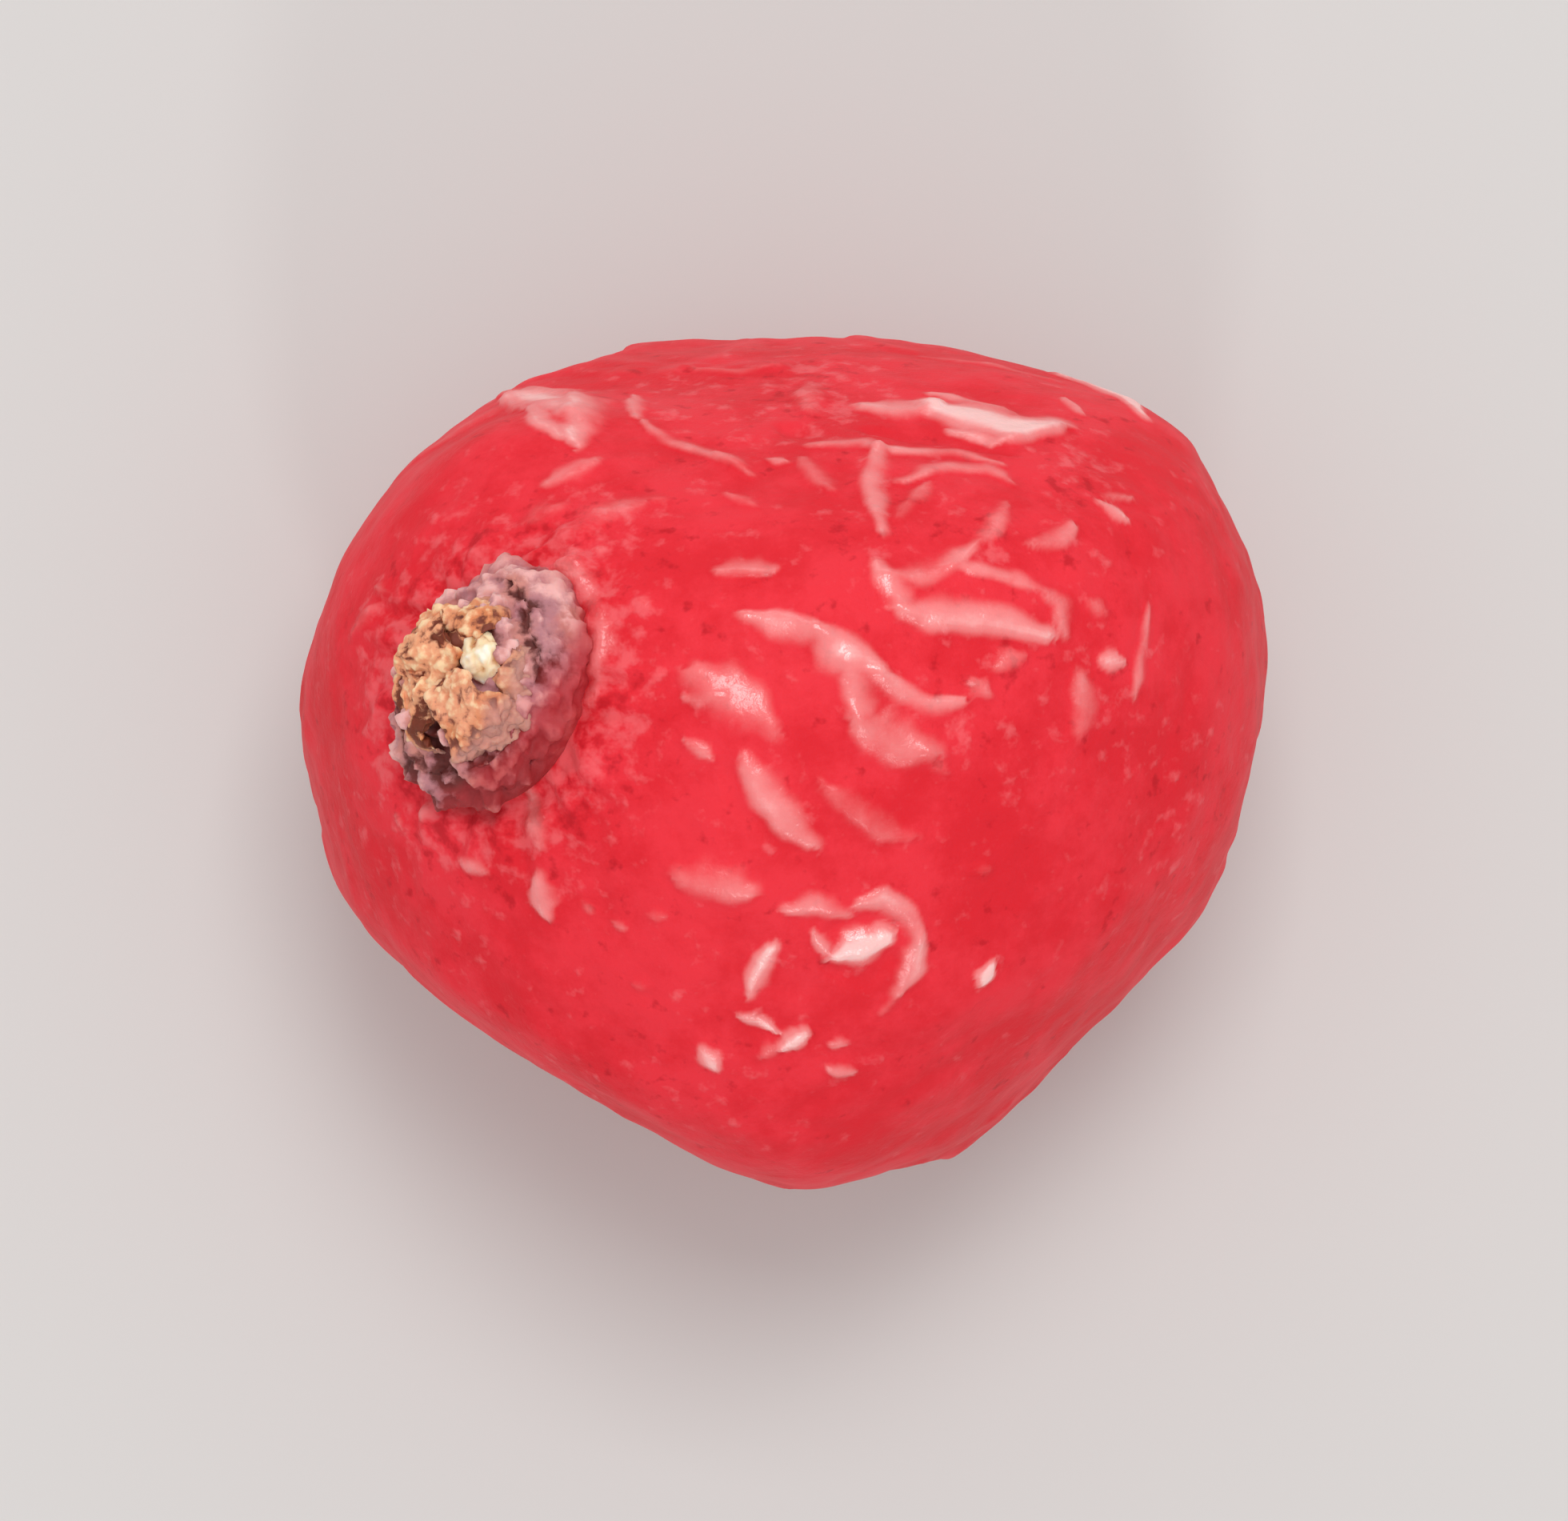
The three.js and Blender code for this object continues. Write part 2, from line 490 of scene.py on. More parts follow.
        # Wrinkles round the berry's waist run nearly level.
        if abs(ray[2]) < 0.3:
            heading[2] *= 0.25
        heading /= np.linalg.norm(heading)
        step = draw.uniform(0.05, 0.12)
        turn = draw.uniform(-0.45, 0.45)
        rays = []
        for _ in range(4):
            rays.append(ray)
            ray = ray + step * heading
            ray /= np.linalg.norm(ray)
            side = np.cross(ray, heading)
            heading = heading * math.cos(turn) + side * math.sin(turn)
            heading -= ray * (heading @ ray)
            heading /= np.linalg.norm(heading)
        rays = np.array(rays)
        return rays * self.form.reach(rays)[:, None]

    def distance_across(self, points: np.ndarray, path: np.ndarray, width: float) -> np.ndarray:
        """How far each point of the skin is from a wrinkle that tapers off at both ends.

        A wrinkle leans: it ends sharply on its right and slopes away gently on its left.

        Args:
            points: places on the skin.
            path: the wrinkle's points on the skin.
            width: the wrinkle's half-width in the middle of its length.

        Returns:
            0 on the middle of the crest, 1 at the edge of the crest, and more beyond it.
        """
        nearest = np.full(len(points), FAR)
        along = np.zeros(len(points))
        left = np.zeros(len(points), bool)
        for i, (start, end) in enumerate(zip(path, path[1:])):
            run = end - start
            t = np.clip((points - start) @ run / (run @ run), 0, 1)
            gap = points - start - t[:, None] * run
            distance = np.linalg.norm(gap, axis=1)
            closer = distance < nearest
            nearest = np.where(closer, distance, nearest)
            along = np.where(closer, (i + t) / (len(path) - 1), along)
            left = np.where(closer, gap @ np.cross(start, run) > 0, left)
        taper = smooth(0.0, 0.3, along) * smooth(0.0, 0.3, 1 - along)
        length = np.linalg.norm(np.diff(path, axis=0), axis=1).sum()
        lean = 1 + (self.lean - 1) * min(1.0, length / 0.8)
        return nearest / (width * (0.6 + 0.4 * taper) * np.where(left, lean, 1.0))

    def wrinkle_relief(self, surface: BVHTree, points: np.ndarray) -> tuple[np.ndarray, np.ndarray]:
        """Height of the separate wrinkles, and the painted highlight and gloss on their crests.

        Args:
            surface: the smooth skin, in the frame's millimetres.
            points: places on the smooth skin, from the middle of the pulp.

        Returns:
            Millimetres outwards at each point, and sheen from 0 to 1.
        """
        height = np.zeros(len(points))
        sheen = np.zeros(len(points))
        # Bent points make the wrinkles' edges wander.
        bent = warped(warped(points, 0.8, 0.06, 60.0), 0.22, 0.035, 80.0)
        for wrinkle in self.seen_wrinkles:
            across = self.distance_across(bent, self.laid_path(surface, wrinkle), wrinkle.width)
            height += wrinkle.relief.value * wrinkle.height() * (1 - smooth(0.1, 1.7, across))
            sheen = np.maximum(sheen, wrinkle.sheen * (1 - smooth(0.0, 1.85, across)))
        sheen *= 1 + 0.4 * grain(points, 0.4, 45.0)
        draw = np.random.default_rng(SEED)
        strays = np.zeros(len(points))
        for _ in range(self.stray_wrinkles):
            path = self.stray_path(draw)
            wrinkle = Wrinkle(draw.uniform(0.05, 0.15), draw.uniform(0.1, 0.75), ())
            # Strays crowd the underside. On the sides only the level ones stay, and none lie on top.
            middle = path[:, 2].mean()
            steep = np.ptp(path[:, 2]) / np.linalg.norm(path[-1] - path[0])
            level = (1 - smooth(0.35, 0.6, steep)) * (1 - smooth(0.4, 0.9, middle))
            share = max(smooth(-0.5, -1.9, middle), 0.6 * level)
            if share > 0:
                across = self.distance_across(bent, path, wrinkle.width)
                boost = self.stray_boost * (1 - 0.5 * level)
                raised = share * boost * wrinkle.height() * (1 - smooth(0.1, 1.7, across))
                strays = np.maximum(strays, raised)
                sheen = np.maximum(sheen, share * wrinkle.sheen * (1 - smooth(0.0, 2.1, across)))
        return height + strays, sheen

    def flower_relief(self, points: np.ndarray) -> np.ndarray:
        """Height of the skin round the flower: its puckers, the dip it sits in, a crevice and crumbs.

        Args:
            points: places on the smooth skin.

        Returns:
            Millimetres outwards at each point.
        """
        gap = from_axis(points, self.flower_axis)
        level = np.cross(self.flower_axis, (0, 0, 1))
        level /= np.linalg.norm(level)
        up = np.cross(level, self.flower_axis)
        turn = np.arctan2(points @ up, points @ level)
        # Coarse and fine puckers run towards the flower.
        wander = grain(points, 0.7, 140.0)
        puckers = np.cos(13 * turn + 5.0 * wander) + 0.5 * np.cos(29 * turn + 9.0 * wander)
        ring = smooth(0.9, 1.15, gap) * (1 - smooth(1.2, 2.0, gap))
        # The flower's front side overhangs a crevice.
        front = smooth(0.2, 0.9, -(points @ level) / gap)
        dip = (1 - smooth(1.0, 1.25, gap)) * smooth(0.0, 0.5, gap)
        crevice = front * np.exp(-(((gap - self.crevice_radius) / self.crevice_width) ** 2))
        # Crumbs lie in a ragged ring round the flower's foot.
        crumbled = crumbs(warped(points, 0.2, 0.05, 145.0), 0.16, 7.0) * smooth(0.9, 1.1, gap)
        crumbled *= 1 - smooth(1.2, 1.75, gap + 0.3 * grain(points, 0.3, 147.0))
        sunk = self.pucker_height * puckers * ring - self.dip_depth * dip
        return sunk - self.crevice_depth * crevice + self.crumb_height * crumbled

    def scar(self, points: np.ndarray) -> tuple[np.ndarray, np.ndarray]:
        """The small rough scar where the stem came off, opposite the flower.

        Args:
            points: places on the smooth skin.

        Returns:
            Millimetres outwards at each point, and how much of the scar it has, from 0 to 1.
        """
        gap = from_axis(warped(points, 0.3, 0.06, 150.0), -self.flower_axis) / self.scar_radius
        ragged = gap + 0.25 * grain(points, 0.25, 170.0)
        rim = np.exp(-((ragged - 0.7) / 0.2) ** 2)
        hollow = 1 - smooth(0.2, 0.65, ragged)
        rough = (grain(points, 0.16, 160.0) + crumbs(points, 0.14, 165.0)) * (1 - smooth(0.6, 1.1, gap))
        return self.scar_height * (rim - 1.1 * hollow + 0.5 * rough), 1 - smooth(0.6, 1.0, ragged)

    def crumbly(self, points: np.ndarray) -> np.ndarray:
        """How thickly pale crumbs lie on the skin: most round the flower, then in loose patches.

        Args:
            points: places on the smooth skin.

        Returns:
            0 for none to 1 for the most, for each point.
        """
        ring = 1 - smooth(1.1, 2.3, from_axis(points, self.flower_axis))
        patches = smooth(-0.1, 0.4, grain(points, 1.5, 90.0))
        thick = np.clip(ring + 0.3 * patches, 0, 1)
        for x, y, radius in self.crumb_patches:
            gap = np.hypot(points[:, 0] + self.offset[0] - x, points[:, 1] + self.offset[1] - y)
            thick = np.maximum(thick, 0.7 * (1 - smooth(0.3, 1.2, gap / radius)) * (points[:, 2] > 0))
        return thick

    def build(self, box: tuple[Vector, Vector]) -> bpy.types.Object:
        """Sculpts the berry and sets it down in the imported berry's box.

        Args:
            box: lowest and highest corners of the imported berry, in metres.

        Returns:
            The finished object.
        """
        berry = self.ball()
        rays = read_points(berry)
        reach = self.form.reach(rays)
        smooth_skin = rays * reach[:, None]
        middle = (smooth_skin.min(axis=0) + smooth_skin.max(axis=0)) / 2
        self.offset = np.array([-middle[0], -middle[1], self.form.rest_height])
        write_points(berry, smooth_skin + self.offset)
        bm = bmesh.new()
        bm.from_mesh(berry.data)
        surface = BVHTree.FromBMesh(bm)
        bm.free()
        wrinkled, sheen = self.wrinkle_relief(surface, smooth_skin)
        worms = self.worms(smooth_skin)
        scarred, scar = self.scar(smooth_skin)
        slow = self.slow_relief(smooth_skin)
        height = slow + self.worm_height * worms + wrinkled * (1 - scar)
        height += self.flower_relief(smooth_skin) + scarred
        sheen = np.maximum(sheen, self.worm_sheen * smooth(0.5, 1.0, worms)) * (1 - scar)
        points = rays * (reach + height)[:, None] + self.offset
        # The berry is flat where it rests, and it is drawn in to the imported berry's box.
        points[:, 2] = np.maximum(points[:, 2], 0)
        low, high = (np.array(corner) / MM for corner in box)
        spread = np.minimum(1, (high - low) / (points.max(axis=0) - points.min(axis=0)))
        points *= spread
        middle = (points.min(axis=0) + points.max(axis=0)) / 2
        points += (low + high) / 2 - middle
        write_points(berry, points * MM)
        # The sheen paints a highlight on the crests and sets their gloss.
        paint(berry, "sheen", sheen)
        # The slow relief is kept for the material's painted shade in the hollows and painted light on
        # the swells.
        paint(berry, "relief_shade", np.clip(slow / self.full_lift, -1, 1))
        paint(berry, "scar", scar)
        paint(berry, "crumbly", self.crumbly(smooth_skin))
        return berry


@dataclass(frozen=True)
class SkinFinish:
    """Freeze-dried fruit skin: a thin red membrane over dry pulp, shrunk into folds.

    The eye gets a matt, mottled red with pale flecks, dark pores and satin crests with painted
    highlights.

    Attributes:
        deep: red of the darker blotches, and of the painted shade in the hollows.
        bright: red of the brighter blotches, and of the painted light on the swells.
        painted_highlight: the painted highlight on the crests of the wrinkles.
        painted_glint: the painted glint in the middle of the brightest crests.
        fleck: crumbs of dry pulp seen through the membrane.
        pore: pores among the crumbs.
        scar: torn tissue of the stem scar.
        fibre: fibres standing out of that tissue.
        matt: roughness of the membrane.
        satin: roughness of the polish on the crests.
    """

    deep: str = "#DC2833"
    bright: str = "#E83541"
    painted_highlight: str = "#F89896"
    painted_glint: str = "#FFD6D2"
    fleck: str = "#F58488"
    pore: str = "#B0141F"
    scar: str = "#5E2A1C"
    fibre: str = "#C08A62"
    matt: float = 0.46
    satin: float = 0.22

    def material(self) -> bpy.types.Material:
        """Builds the skin's material.

        Returns:
            The material, which reads the attributes that the skin was painted with.
        """
        mat = bpy.data.materials.new("freeze_dried_skin")
        mat.use_nodes = True
        tree = mat.node_tree
        tree.nodes.clear()
        place = add_node(tree, "ShaderNodeTexCoord").outputs["Object"]
        sheen = add_node(tree, "ShaderNodeAttribute", attribute_name="sheen").outputs["Fac"]
        crumbly = add_node(tree, "ShaderNodeAttribute", attribute_name="crumbly").outputs["Fac"]
        scar = add_node(tree, "ShaderNodeAttribute", attribute_name="scar").outputs["Fac"]
        relief_shade = add_node(tree, "ShaderNodeAttribute", attribute_name="relief_shade").outputs["Fac"]
        # Slow blotches 1 mm across, with painted shade that makes the hollows deeper red and painted
        # light that makes the swells brighter.
        blotch = add_node(tree, "ShaderNodeTexNoise", {
            "Vector": place, "Scale": 1 / (1.0 * MM), "Detail": 6.0, "Roughness": 0.68})
        mixed = add_node(tree, "ShaderNodeMath", {0: relief_shade, 1: 0.12, 2: blotch.outputs[0]},
                         operation="MULTIPLY_ADD")
        tone = add_node(tree, "ShaderNodeMapRange", {0: mixed.outputs[0], 1: 0.38, 2: 0.62},
                        interpolation_type="SMOOTHSTEP")
        red = add_node(tree, "ShaderNodeMix", {
            0: tone.outputs[0], 6: linear(self.deep), 7: linear(self.bright)}, data_type="RGBA")
        # Paler flecks 0.2 mm across, where crumbs of dry pulp show through the membrane, and deep red
        # pores between them.
        flecks = add_node(tree, "ShaderNodeTexNoise", {
            "Vector": place, "Scale": 1 / (0.22 * MM), "Detail": 3.0, "Roughness": 0.55})
        sunken = add_node(tree, "ShaderNodeMath", {0: crumbly, 1: -0.1, 2: flecks.outputs[0]},
                          operation="MULTIPLY_ADD")
        pore = add_node(tree, "ShaderNodeMapRange", {
            0: sunken.outputs[0], 1: 0.38, 2: 0.22, 3: 0.0, 4: 0.6}, interpolation_type="SMOOTHSTEP")
        pitted = add_node(tree, "ShaderNodeMix", {
            0: pore.outputs[0], 6: red.outputs[2], 7: linear(self.pore)}, data_type="RGBA")
        lifted = add_node(tree, "ShaderNodeMath", {0: crumbly, 1: 0.2, 2: flecks.outputs[0]},
                          operation="MULTIPLY_ADD")
        fleck = add_node(tree, "ShaderNodeMapRange", {
            0: lifted.outputs[0], 1: 0.6, 2: 0.82, 3: 0.0, 4: 0.35}, interpolation_type="SMOOTHSTEP")
        flecked = add_node(tree, "ShaderNodeMix", {
            0: fleck.outputs[0], 6: pitted.outputs[2], 7: linear(self.fleck)}, data_type="RGBA")
        # Crests get a painted highlight and a gloss, in patches with ragged edges, palest along the
        # middle.
        edge = add_node(tree, "ShaderNodeTexNoise", {
            "Vector": place, "Scale": 1 / (0.3 * MM), "Detail": 4.0, "Roughness": 0.6})
        ragged = add_node(tree, "ShaderNodeMath", {0: edge.outputs[0], 1: 0.6, 2: sheen},
                          operation="MULTIPLY_ADD")
        highlit = add_node(tree, "ShaderNodeMapRange", {0: ragged.outputs[0], 1: 0.38, 2: 1.25},
                        interpolation_type="SMOOTHSTEP")
        pale = add_node(tree, "ShaderNodeMath", {0: highlit.outputs[0], 1: 0.62}, operation="MULTIPLY")
        facing = add_node(tree, "ShaderNodeLayerWeight", {"Blend": 0.5}).outputs["Facing"]
        face_on = add_node(tree, "ShaderNodeMapRange", {
            0: facing, 1: 0.4, 2: 0.95, 3: 1.0, 4: 0.15}, interpolation_type="SMOOTHSTEP")
        polish = add_node(tree, "ShaderNodeMath", {0: highlit.outputs[0], 1: face_on.outputs[0]},
                          operation="MULTIPLY")
        crest = add_node(tree, "ShaderNodeMix", {
            0: pale.outputs[0], 6: flecked.outputs[2], 7: linear(self.painted_highlight)}, data_type="RGBA")
        # The brightest crests also get a painted glint along their middle.
        glint_share = add_node(tree, "ShaderNodeMapRange", {
            0: ragged.outputs[0], 1: 1.15, 2: 1.7, 3: 0.0, 4: 0.7}, interpolation_type="SMOOTHSTEP")
        glinted = add_node(tree, "ShaderNodeMix", {
            0: glint_share.outputs[0], 6: crest.outputs[2], 7: linear(self.painted_glint)}, data_type="RGBA")
        # Fine crinkles 0.16 mm across in the membrane.
        crinkle = add_node(tree, "ShaderNodeTexNoise", {
            "Vector": place, "Scale": 1 / (0.16 * MM), "Detail": 5.0, "Roughness": 0.6})
        # The scar's torn fibres are pale on dark.
        fibres = add_node(tree, "ShaderNodeMapRange", {0: crinkle.outputs[0], 1: 0.4, 2: 0.64})
        torn = add_node(tree, "ShaderNodeMix", {
            0: fibres.outputs[0], 6: linear(self.scar), 7: linear(self.fibre)}, data_type="RGBA")
        tint = add_node(tree, "ShaderNodeMix", {
            0: scar, 6: glinted.outputs[2], 7: torn.outputs[2]}, data_type="RGBA")
        # The crinkles and flecks stand on the skin by a few hundredths of a millimetre.
        fine = add_node(tree, "ShaderNodeBump", {
            "Strength": 0.7, "Distance": 0.024 * MM, "Height": crinkle.outputs[0]})
        bump = add_node(tree, "ShaderNodeBump", {
            "Strength": 0.7, "Distance": 0.03 * MM, "Height": fleck.outputs[0],
            "Normal": fine.outputs[0]})
        shader = add_node(tree, "ShaderNodeBsdfPrincipled", {
            "Base Color": tint.outputs[2],
            "Roughness": self.matt,
            "IOR": 1.36,
            "Specular IOR Level": 0.1,
            "Subsurface Weight": 0.15,
            "Subsurface Radius": (1.0, 0.12, 0.08),
            "Subsurface Scale": 0.35 * MM,
            "Coat Weight": polish.outputs[0],
            "Coat Roughness": self.satin,
            "Coat IOR": 1.7,
            "Normal": bump.outputs[0],
            "Coat Normal": bump.outputs[0],
        })
        add_node(tree, "ShaderNodeOutputMaterial", {"Surface": shader.outputs[0]})
        return mat


@dataclass(frozen=True)
class DriedTissueFinish:
    """Withered flower tissue, dried until it crumbles.

    The eye gets matt grains, with painted light where they stand up and painted shade in the pores
    between them.

    Attributes:
        name: the material's name.
        pale: the raised grains, with painted light.
        body: the tissue's main shade.
        patch: its second shade.
        dark: the painted shade in the pores and pits.
        foot: the fruit's colour that is left towards the piece's foot.
        grain_mm: width of the grains in millimetres.
    """

    name: str
    pale: str
    body: str
    patch: str
    dark: str
    foot: str
    grain_mm: float = 0.2

    def material(self) -> bpy.types.Material:
        """Builds the tissue's material.

        Returns:
            The material, which reads the attributes that roughen painted.
        """
        mat = bpy.data.materials.new(self.name)
        mat.use_nodes = True
        tree = mat.node_tree
        tree.nodes.clear()
        place = add_node(tree, "ShaderNodeTexCoord").outputs["Object"]
        relief = add_node(tree, "ShaderNodeAttribute", attribute_name="relief").outputs["Fac"]
        foot = add_node(tree, "ShaderNodeAttribute", attribute_name="foot").outputs["Fac"]
        # Two shades of dry tissue lie in patches 0.6 mm across.
        slow = add_node(tree, "ShaderNodeTexNoise", {
            "Vector": place, "Scale": 1 / (0.6 * MM), "Detail": 3.0, "Roughness": 0.5})
        share = add_node(tree, "ShaderNodeMapRange", {0: slow.outputs[0], 1: 0.42, 2: 0.58},
                         interpolation_type="SMOOTHSTEP")
        shade = add_node(tree, "ShaderNodeMix", {
            0: share.outputs[0], 6: linear(self.body), 7: linear(self.patch)}, data_type="RGBA")
        # Painted light makes raised grains pale and painted shade makes the pores dark.
        grains = add_node(tree, "ShaderNodeTexNoise", {
            "Vector": place, "Scale": 1 / (self.grain_mm * MM), "Detail": 5.0, "Roughness": 0.6})
        mixed = add_node(tree, "ShaderNodeMath", {0: relief, 1: 0.4, 2: grains.outputs[0]},
                         operation="MULTIPLY_ADD")
        low = add_node(tree, "ShaderNodeMapRange", {0: mixed.outputs[0], 1: 0.2, 2: 0.48},
                       interpolation_type="SMOOTHSTEP")
        high = add_node(tree, "ShaderNodeMapRange", {0: mixed.outputs[0], 1: 0.5, 2: 0.85},
                        interpolation_type="SMOOTHSTEP")
        pored = add_node(tree, "ShaderNodeMix", {
            0: low.outputs[0], 6: linear(self.dark), 7: shade.outputs[2]}, data_type="RGBA")
        grained = add_node(tree, "ShaderNodeMix", {
            0: high.outputs[0], 6: pored.outputs[2], 7: linear(self.pale)}, data_type="RGBA")
        # Towards the piece's foot the tissue still holds the fruit's colour.
        tint = add_node(tree, "ShaderNodeMix", {
            0: foot, 6: grained.outputs[2], 7: linear(self.foot)}, data_type="RGBA")
        bump = add_node(tree, "ShaderNodeBump", {
            "Strength": 0.6, "Distance": 0.03 * MM, "Height": grains.outputs[0]})
        shader = add_node(tree, "ShaderNodeBsdfPrincipled", {
            "Base Color": tint.outputs[2],
            "Roughness": 0.7,
            "Subsurface Weight": 0.3,
            "Subsurface Radius": (1.0, 0.5, 0.3),
            "Subsurface Scale": 0.15 * MM,
            "Normal": bump.outputs[0],
        })
        add_node(tree, "ShaderNodeOutputMaterial", {"Surface": shader.outputs[0]})
        return mat


@dataclass
class WitheredFlower:
    """The dried flower on the berry's end, built along +Z in millimetres and then set on the berry.

    Attributes:
        axis: unit vector on the berry that its +Z is turned to.
        seat: place of its foot in the frame.
        foot_radius: radius of the collar at its foot.
        rim_radius: radius of the collar's rim.
        mouth_radius: radius of the raised middle inside the rim.
        slant: degrees round from +X of the way that the collar is stretched.
        stretch: share by which it is stretched that way, and squeezed across.
        height: height of the rim.
        floor: height of the raised middle.
        style_off: place of the style's nub.
        pits: (x, y, radius) of the pits among the sepals, darkened with painted shade.
        rim_pits: the same for the collar.
        sepal_turns: degrees round +Z of each sepal.
        sepal_lengths: each sepal's share of its drawn length.
        sepal_stains: least share of the fruit's colour on each sepal.
    """

    axis: np.ndarray
    seat: np.ndarray
    foot_radius: float = 1.12
    rim_radius: float = 0.86
    mouth_radius: float = 0.58
    slant: float = 54
    stretch: float = 0.1
    height: float = 0.42
    floor: float = 0.56
    style_off: tuple[float, float] = (0.32, 0.16)
    pits: tuple[tuple[float, float, float], ...] = ((0.0, 0.33, 0.14), (-0.25, -0.5, 0.2))
    rim_pits: tuple[tuple[float, float, float], ...] = ((-0.2, -0.57, 0.16),)
    sepal_turns: tuple[float, ...] = (346, 72, 144, 216, 304)
    sepal_lengths: tuple[float, ...] = (0.62, 0.95, 1.15, 1.25, 1.18)
    sepal_stains: tuple[float, ...] = (0.4, 0.05, 0.0, 0.0, 0.12)

    def place(self, thing: bpy.types.Object) -> None:
        """Turns a piece from the flower's own frame to its place on the berry, in metres.

        Args:
            thing: the piece.
        """
        turn = Vector((0, 0, 1)).rotation_difference(Vector(self.axis)).to_matrix().to_4x4()
        thing.data.transform(Matrix.Scale(MM, 4) @ Matrix.Translation(Vector(self.seat)) @ turn)
        thing.data.update()

    def spun(self, name: str, outline: tuple[tuple[float, float], ...], steps: int) -> bpy.types.Object:
        """Spins an outline round +Z.

        Args:
            name: the object's name.
            outline: (radius, height) pairs, which start and end on the axis.
            steps: faces once round.

        Returns:
            The object, closed at both ends.
        """
        bm = bmesh.new()
        verts = [bm.verts.new((radius, 0, height)) for radius, height in outline]
        edges = [bm.edges.new(pair) for pair in zip(verts, verts[1:])]
        bmesh.ops.subdivide_edges(bm, edges=edges, cuts=9)
        bmesh.ops.spin(bm, geom=bm.verts[:] + bm.edges[:], axis=(0, 0, 1), cent=(0, 0, 0),
                       dvec=(0, 0, 0), angle=2 * math.pi, steps=steps, use_merge=True)
        bmesh.ops.remove_doubles(bm, verts=bm.verts[:], dist=1e-4)
        bmesh.ops.recalc_face_normals(bm, faces=bm.faces[:])
        for face in bm.faces:
            face.smooth = True
        settle(bm)
        return mesh_object(name, bm)

    def roughen(self, thing: bpy.types.Object, sizes: tuple[float, ...], depth: float,
                shift: float, foot: tuple[float, float], stain: float = 0.0,
                pits: tuple[tuple[float, float, float], ...] = ()) -> None:
        """Crumbles a piece's surface with noise, and keeps its relief, with painted shade and light
        added, for the material.

        Args:
            thing: the piece, in the flower's own frame.
            sizes: widths of the noise's lumps in millimetres, the coarsest first.
            depth: height of the coarsest lumps in millimetres.
            shift: moves to another part of the noise.
            foot: heights in millimetres between which the foot's colour fades out.
            stain: least share of the foot's colour anywhere on the piece.
            pits: (x, y, radius) of each pit, darkened with painted shade.
        """
        points = read_points(thing)
        low, high = foot
        normals = np.zeros(len(points) * 3)
        thing.data.vertex_normals.foreach_get("vector", normals)
        lumps = sum(grain(points, size, shift + i) * (size / sizes[0]) ** 0.7
                    for i, size in enumerate(sizes))
        lumps += 0.9 * crumbs(warped(points, 0.2, 0.05, shift), 0.6 * sizes[0], shift) - 0.4
        # Each pit is dented in, and painted shade makes it dark.
        for x, y, radius in pits:
            gap = np.hypot(points[:, 0] - x, points[:, 1] - y) / radius
            lumps -= 1.4 * (1 - smooth(0.0, 1.3, gap + 0.6 * grain(points, 0.12, shift + 80.0)))
        # The buried foot stays smooth.
        rooted = smooth(-0.25, 0.05, points[:, 2])
        write_points(thing, points + normals.reshape(-1, 3) * (depth * lumps * rooted)[:, None])
        # Painted shade makes the front darkest, most of all low down, and painted light makes the middle
        # and back paler.
        under = smooth(0.4, 0.9, -points[:, 1]) * (1 - smooth(0.05, 0.35, points[:, 2]))
        middle = 1 - smooth(0.2, 0.6, np.hypot(points[:, 0], points[:, 1]))
        front_shade_back_light = smooth(0.35, 1.0, -points[:, 1]) - smooth(0.2, 0.9, points[:, 1])
        paint(thing, "relief", lumps - 0.3 * front_shade_back_light - 0.8 * under + 0.2 * middle)
        # The fruit's colour climbs highest towards the front and right.
        fruit_side = smooth(0.1, 1.0, (points[:, 0] - points[:, 1]) / math.sqrt(2))
        rise = points[:, 2] + 0.12 * grain(points, 0.25, shift + 40.0) - 0.35 * fruit_side
        patchy = np.clip(stain * (1 + 0.8 * grain(points, 0.15, shift + 60.0)), 0, 1)
        # Painted shade also holds back the fruit's red low down at the front.
        red = 0.9 * (1 - smooth(low, high, rise)) * (1 - 0.35 * under)
        paint(thing, "foot", np.maximum(patchy, red))

    def cup(self) -> bpy.types.Object:
        """The rough collar at the flower's foot, with the raised middle that its sepals lie on.

        Returns:
            The cup, in the flower's own frame.
        """
        waist = (self.foot_radius + self.rim_radius) / 2 - 0.04
        cup = self.spun("dried_cup", (
            (0, -0.25),
            (self.foot_radius - 0.1, -0.25),
            (self.foot_radius - 0.02, 0.02),
            (waist, 0.6 * self.height),
            (self.rim_radius, self.height - 0.02),
            (self.mouth_radius + 0.1, self.height),
            (self.mouth_radius, self.floor + 0.05),
            (0, self.floor),
        ), 200)
        # Its rim is uneven, wider one way than the other, and rises and falls.
        points = read_points(cup)
        turn = np.arctan2(points[:, 1], points[:, 0])
        ring = np.stack([np.cos(turn), np.sin(turn), np.zeros(len(turn))], axis=1)
        uneven = grain(ring, 0.7, 55.0) + 0.5 * grain(ring, 0.3, 66.0)
        high = smooth(0.0, self.height, points[:, 2])
        slanted = self.stretch * np.cos(2 * (turn - math.radians(self.slant)))
        points[:, :2] *= (1 + 0.13 * uneven * high + slanted)[:, None]
        points[:, 2] += 0.1 * grain(ring, 0.6, 77.0) * high
        write_points(cup, points)
        self.roughen(cup, (0.3, 0.15, 0.08, 0.04), 0.1, 2.0, (-0.15, 0.25), pits=self.rim_pits)
        return cup

    def sepal(self, number: int) -> bpy.types.Object:
        """One shrivelled sepal, folded in over the cup.

        Args:
            number: which of the sepals, from 1.

        Returns:
            The sepal, in the flower's own frame.
        """
        bm = bmesh.new()
        bmesh.ops.create_grid(bm, x_segments=22, y_segments=26, size=1)
        draw = np.random.default_rng(SEED + number)
        length = draw.uniform(0.66, 0.8) * self.sepal_lengths[number - 1]
        width = draw.uniform(0.74, 0.92)
        curl = math.radians(draw.uniform(95, 125))
